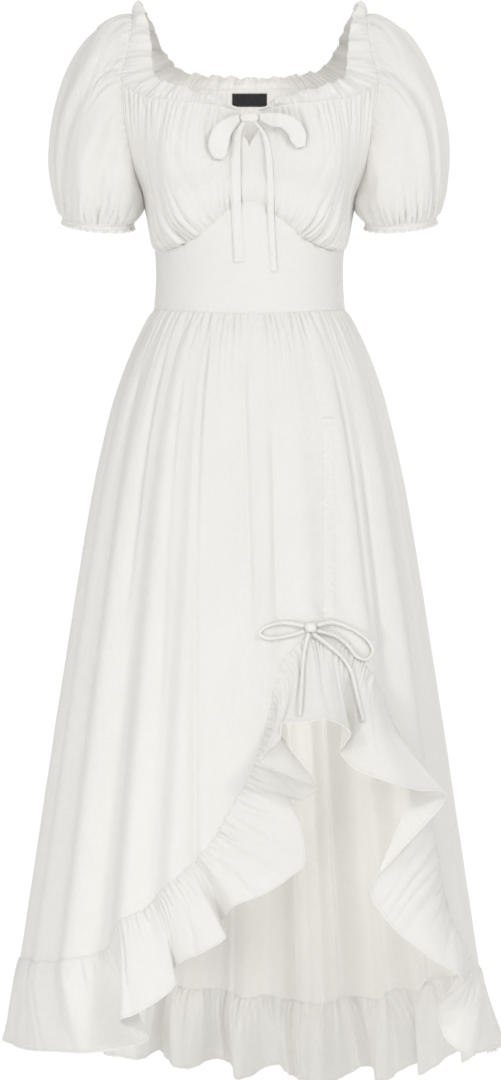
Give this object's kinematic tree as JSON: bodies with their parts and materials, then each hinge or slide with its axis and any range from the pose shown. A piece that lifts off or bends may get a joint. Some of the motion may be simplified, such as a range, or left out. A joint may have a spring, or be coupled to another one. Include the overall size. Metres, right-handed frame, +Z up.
{
  "type": "renaissance dress",
  "caption": "Long white renaissance dress, gathered cups with a keyhole bow, puff sleeves, ruffled neck, and a skirt drawn up in front by a bow into a cascading ruffle.",
  "frame": {"origin": "midway between the two shoulder tops, on the centre plane", "axes": "+Z up along the dress, -Y towards its front, +X towards the wearer's left"},
  "size_m": [0.6342, 0.5673, 1.3877],
  "materials": {
    "white_cloth": "fine plain weave, matt",
    "white_tie": "narrow tie of the dress's cloth, matt",
    "black_label": "woven satin label"
  },
  "bodies": {
    "root": {"cup_right": "white_cloth", "cup_left": "white_cloth", "bodice_back": "white_cloth", "midriff_front": "white_cloth", "midriff_back": "white_cloth", "sleeve_right": "white_cloth", "sleeve_left": "white_cloth", "cuff_right": "white_cloth", "cuff_left": "white_cloth", "neck_ruffle": "white_cloth", "skirt_front": "white_cloth", "skirt_back": "white_cloth", "ruffle_front": "white_cloth", "ruffle_back": "white_cloth", "skirt_channel": "white_cloth", "neck_knot": "white_tie", "neck_loop_right": "white_tie", "neck_loop_left": "white_tie", "neck_tail_right": "white_tie", "neck_tail_left": "white_tie", "skirt_knot": "white_tie", "skirt_loop_right": "white_tie", "skirt_loop_left": "white_tie", "skirt_tail_right": "white_tie", "skirt_tail_left": "white_tie", "neck_label": "black_label"}
  },
  "joints": []
}
